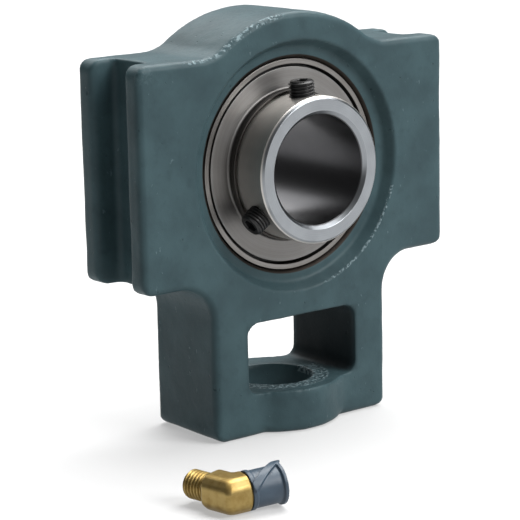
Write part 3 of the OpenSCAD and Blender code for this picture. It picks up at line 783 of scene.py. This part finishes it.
def elbow_mesh(lies):
    """Both legs of the bar, which meet on the mitre, with softened edges and the round outlet."""
    cut = ELBOW_HALF - ELBOW_CUT
    corner = [Vector((ELBOW_HALF, -cut)), Vector((ELBOW_HALF, cut))]
    section = [Matrix.Rotation(math.radians(90 * k), 2) @ p for k in range(4) for p in corner]
    outlet = Matrix.Rotation(BEND, 4, "Z")
    slope = math.tan(BEND / 2)
    work = bmesh.new()
    rings = [[work.verts.new((-ELBOW_L, y, z)) for y, z in section],
             [work.verts.new((-slope * y, y, z)) for y, z in section],
             [work.verts.new(outlet @ Vector((OUTLET_L - OUTLET_LIP, y, z))) for y, z in section]]
    for low, high in zip(rings, rings[1:]):
        for k in range(8):
            work.faces.new((low[k], low[k - 1], high[k - 1], high[k]))
    work.faces.new(rings[0])
    work.faces.new(rings[2])
    bmesh.ops.recalc_face_normals(work, faces=work.faces)
    # The inside of the bend and the end under the cap stay sharp
    inside = {v for v, (y, z) in zip(rings[1], section) if y > 0.9 * cut}
    end = set(rings[2])
    soft = [e for e in work.edges if not (set(e.verts) <= inside or set(e.verts) <= end)]
    bmesh.ops.bevel(work, geom=soft, offset=ELBOW_ROUNDING, segments=ROUNDING_STEPS, profile=0.5,
                    affect="EDGES", clamp_overlap=True)
    neck_l = 2 * OUTLET_LIP
    neck = (outlet @ Matrix.Translation((OUTLET_L - neck_l / 2, 0, 0))
            @ Matrix.Rotation(math.radians(90), 4, "Y"))
    bmesh.ops.create_cone(work, cap_ends=True, segments=THREAD_STEPS, radius1=OUTLET_R, radius2=OUTLET_R,
                          depth=neck_l, matrix=neck)
    mesh = bpy.data.meshes.new("elbow")
    work.to_mesh(mesh)
    work.free()
    mesh.shade_smooth()
    mesh.set_sharp_from_angle(angle=THREAD_CREASE)
    mesh = with_modifier(mesh, "WEIGHTED_NORMAL", weight=100, keep_sharp=True)
    mesh.transform(lies)
    return mesh


def fitting_thread_mesh(tree, material, lies):
    wall = threaded(tree, material, Radius=FITTING_THREAD_R, Depth=FITTING_GROOVE, Pitch=FITTING_PITCH,
                    Length=FITTING_THREAD_L, Lead=FITTING_LEAD, Segments=THREAD_STEPS, Rows=FITTING_ROWS)
    rim = FITTING_THREAD_R - FITTING_LEAD
    end = [(rim, FITTING_THREAD_L), (CHANNEL_R, FITTING_THREAD_L), (CHANNEL_R, CHANNEL_FLOOR),
           (0, CHANNEL_FLOOR)]
    root = [(rim, 0), (0, 0)]
    mesh = capped(wall, end, root)
    mesh.transform(lies @ Matrix.Translation((-ELBOW_L, 0, 0)) @ Matrix.Rotation(math.radians(-90), 4, "Y"))
    return mesh


lies = on_fitting()
elbow_brass = brass()
add_piece("elbow_body", elbow_mesh(lies), elbow_brass, "grease_fitting", "brass", "fitting_elbow")
add_piece("elbow_thread", fitting_thread_mesh(thread, elbow_brass, lies), elbow_brass, "grease_fitting",
          "brass", "fitting_elbow")


# Nipple and check valve
# The zinc-plated nipple is pressed into the elbow's outlet. The cap hides it, with its ball and spring.


def add_check_spring(lies, wire):
    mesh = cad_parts["check_spring"].data.copy()
    outlet = (lies @ Matrix.Rotation(BEND, 4, "Z")).to_3x3() @ Vector((1, 0, 0))
    along = points_of(mesh) @ np.array(outlet)
    spring = add_piece("check_spring_coil", mesh, wire, "grease_fitting", "spring_wire", "check_spring")
    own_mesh(spring)


node_finish(plain_metal("zinc_plate", tint(178, 180, 180), tint(156, 158, 160), 0.26), "nipple_head")
add_check_spring(lies, plain_metal("spring_wire", tint(150, 150, 152), tint(126, 126, 128), 0.2))


# Cap of the grease fitting
# Soft blue-grey plastic, moulded with a collar, a rim and a strap that leans across its side to a pull tab.
# It is pushed over the nipple and keeps dirt out.

CAP_VOXEL = 0.12 * MM
CAP_ROUNDS = 4


def smooth_copy(node, voxel, rounds):
    """A CAD node's shape with softly rounded edges."""
    mesh = with_modifier(merged_copy(node), "REMESH", mode="VOXEL", voxel_size=voxel)
    set_points(mesh, relaxed(mesh, points_of(mesh), FAIRING * rounds))
    mesh.shade_smooth()
    return mesh


def cap_plastic():
    material, shader, place = finish_named("cap_plastic")
    cloud = place.grain(3 * MM, 3)
    flow = place.grain(0.5 * MM, 2)
    feed(shader, Base_Color=cloud.step(0.3, 0.7).mix(tint(46, 60, 73), tint(54, 69, 82)),
         Roughness=0.38 + flow * 0.16, Normal=dented(flow, 0.015 * MM))
    return material


add_piece("cap_moulding", smooth_copy("fitting_cap", CAP_VOXEL, CAP_ROUNDS), cap_plastic(), "fitting_cap",
          "cap_plastic", "fitting_cap")


# Surface, light and camera
# A pale plain surface under the tail, soft light from the front right, from above and from behind, and the
# photograph's view.

def studio():
    size = 4.0
    mesh = bpy.data.meshes.new("surface")
    corners = [(-size, -size, FLOOR_Z), (size, -size, FLOOR_Z), (size, size, FLOOR_Z), (-size, size, FLOOR_Z)]
    mesh.from_pydata(corners, [], [(0, 1, 2, 3)])
    material, shader, place = finish_named("pale_surface")
    reach = place.node("ShaderNodeVectorMath", {"operation": "LENGTH"}, {0: place}, out=1)
    glow = reach.step(0.3, 2.0).mix((1, 1, 1, 1), (2, 2, 2, 1))
    feed(shader, Base_Color=(0.32, 0.32, 0.32, 1), Roughness=0.9, Specular_IOR_Level=0.1,
         Emission_Color=glow, Emission_Strength=0.4)
    mesh.materials.append(material)
    surface = bpy.data.objects.new("surface", mesh)
    bpy.context.scene.collection.objects.link(surface)


def softbox(name, place, aim, size, power):
    lamp = bpy.data.lights.new(name, "AREA")
    lamp.size = size
    lamp.energy = power
    obj = bpy.data.objects.new(name, lamp)
    obj.location = place
    obj.rotation_mode = "QUATERNION"
    obj.rotation_quaternion = (Vector(aim) - Vector(place)).to_track_quat("-Z", "Y")
    bpy.context.scene.collection.objects.link(obj)


def photograph_view():
    turn, tilt, roll = math.radians(-37.461), math.radians(12.148), math.radians(-1.268)
    away, shift_x, shift_y = 499.5 * MM, -1.84 * MM, -23.47 * MM
    back = Vector((math.sin(turn) * math.cos(tilt), -math.cos(turn) * math.cos(tilt), math.sin(tilt)))
    level = Vector((math.cos(turn), math.sin(turn), 0))
    above = back.cross(level)
    side = math.cos(roll) * level + math.sin(roll) * above
    up = math.cos(roll) * above - math.sin(roll) * level
    lens = bpy.data.cameras.new("photograph_view")
    lens.lens = 147.1
    lens.sensor_width = 36
    lens.clip_start = 0.01
    camera = bpy.data.objects.new("photograph_view", lens)
    camera.matrix_world = Matrix.Translation(shift_x * side + shift_y * up + away * back) @ (
        Matrix((side, up, back)).transposed().to_4x4())
    bpy.context.scene.collection.objects.link(camera)
    bpy.context.scene.camera = camera


studio()
softbox("front_light", (0.5, -1.0, 0.75), (0, 0, -0.02), 0.7, 22)
softbox("top_light", (0.45, 0.2, 1.1), (0, 0, 0), 1.1, 37)
softbox("back_light", (0.2, 1.2, 0.95), (0, 0, 0), 0.9, 8)
world = bpy.data.worlds.new("room")
world.use_nodes = True
world.node_tree.nodes["Background"].inputs["Color"].default_value = (1, 1, 1, 1)
world.node_tree.nodes["Background"].inputs["Strength"].default_value = 0.11
bpy.context.scene.world = world
bpy.context.scene.view_settings.view_transform = "Standard"
photograph_view()
